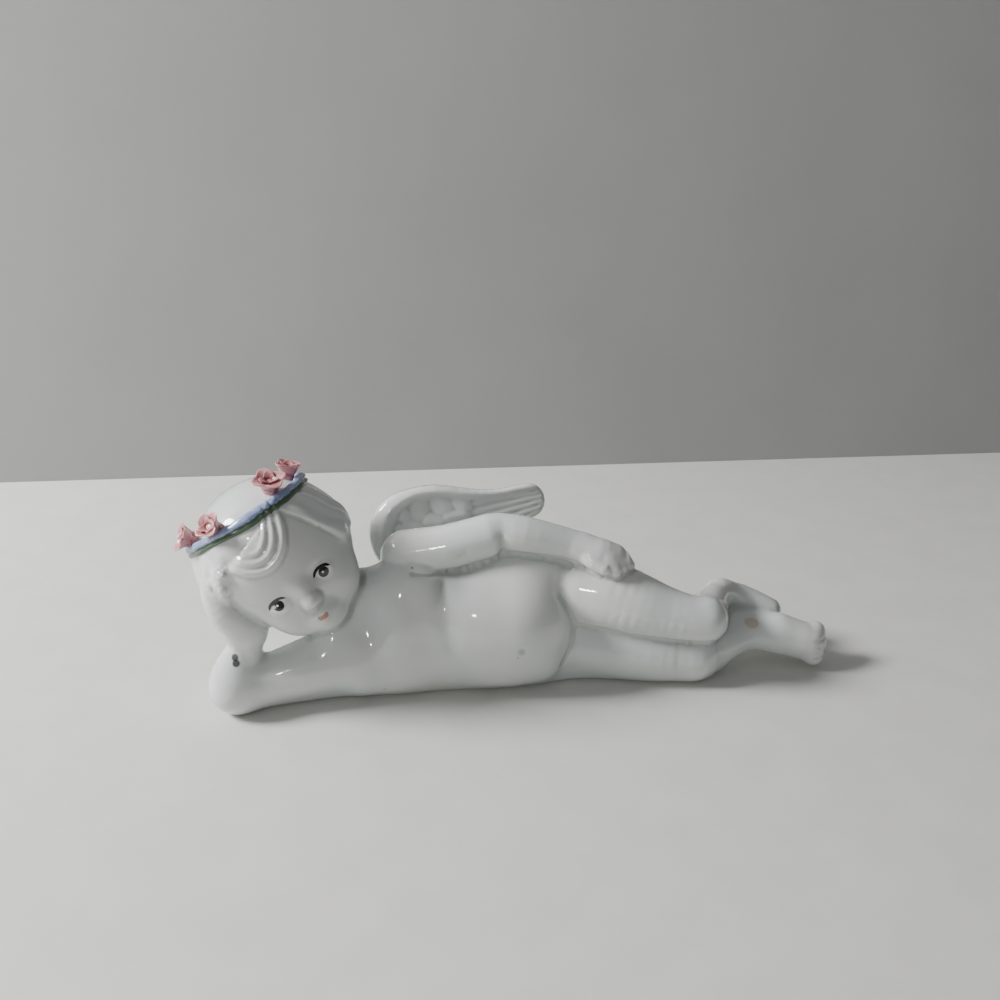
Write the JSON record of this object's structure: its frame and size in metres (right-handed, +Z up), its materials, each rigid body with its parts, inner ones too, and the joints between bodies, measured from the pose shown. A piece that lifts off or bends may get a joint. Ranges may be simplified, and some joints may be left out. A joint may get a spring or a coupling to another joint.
{
  "type": "reclining cherub figurine",
  "caption": "Reclining winged cherub in white glazed porcelain, head propped on one hand, with a ribbon and rose garland round the hair.",
  "frame": {"origin": "centre of the footprint box, on the table plane that the figure lies on", "axes": "+X from the head towards the feet, -Y towards the face and belly, +Z up"},
  "size_m": [0.2164, 0.0604, 0.0798],
  "materials": {
    "white_glaze": "clear gloss glaze over a white body",
    "ribbon_glaze": "blue gloss glaze with a green edge",
    "rose_glaze": "dusty pink gloss glaze"
  },
  "bodies": {
    "root": {"cherub_figure": "white_glaze", "garland_band": "ribbon_glaze", "rose_1": "rose_glaze", "rose_2": "rose_glaze", "rose_3": "rose_glaze", "rose_4": "rose_glaze"}
  },
  "joints": []
}
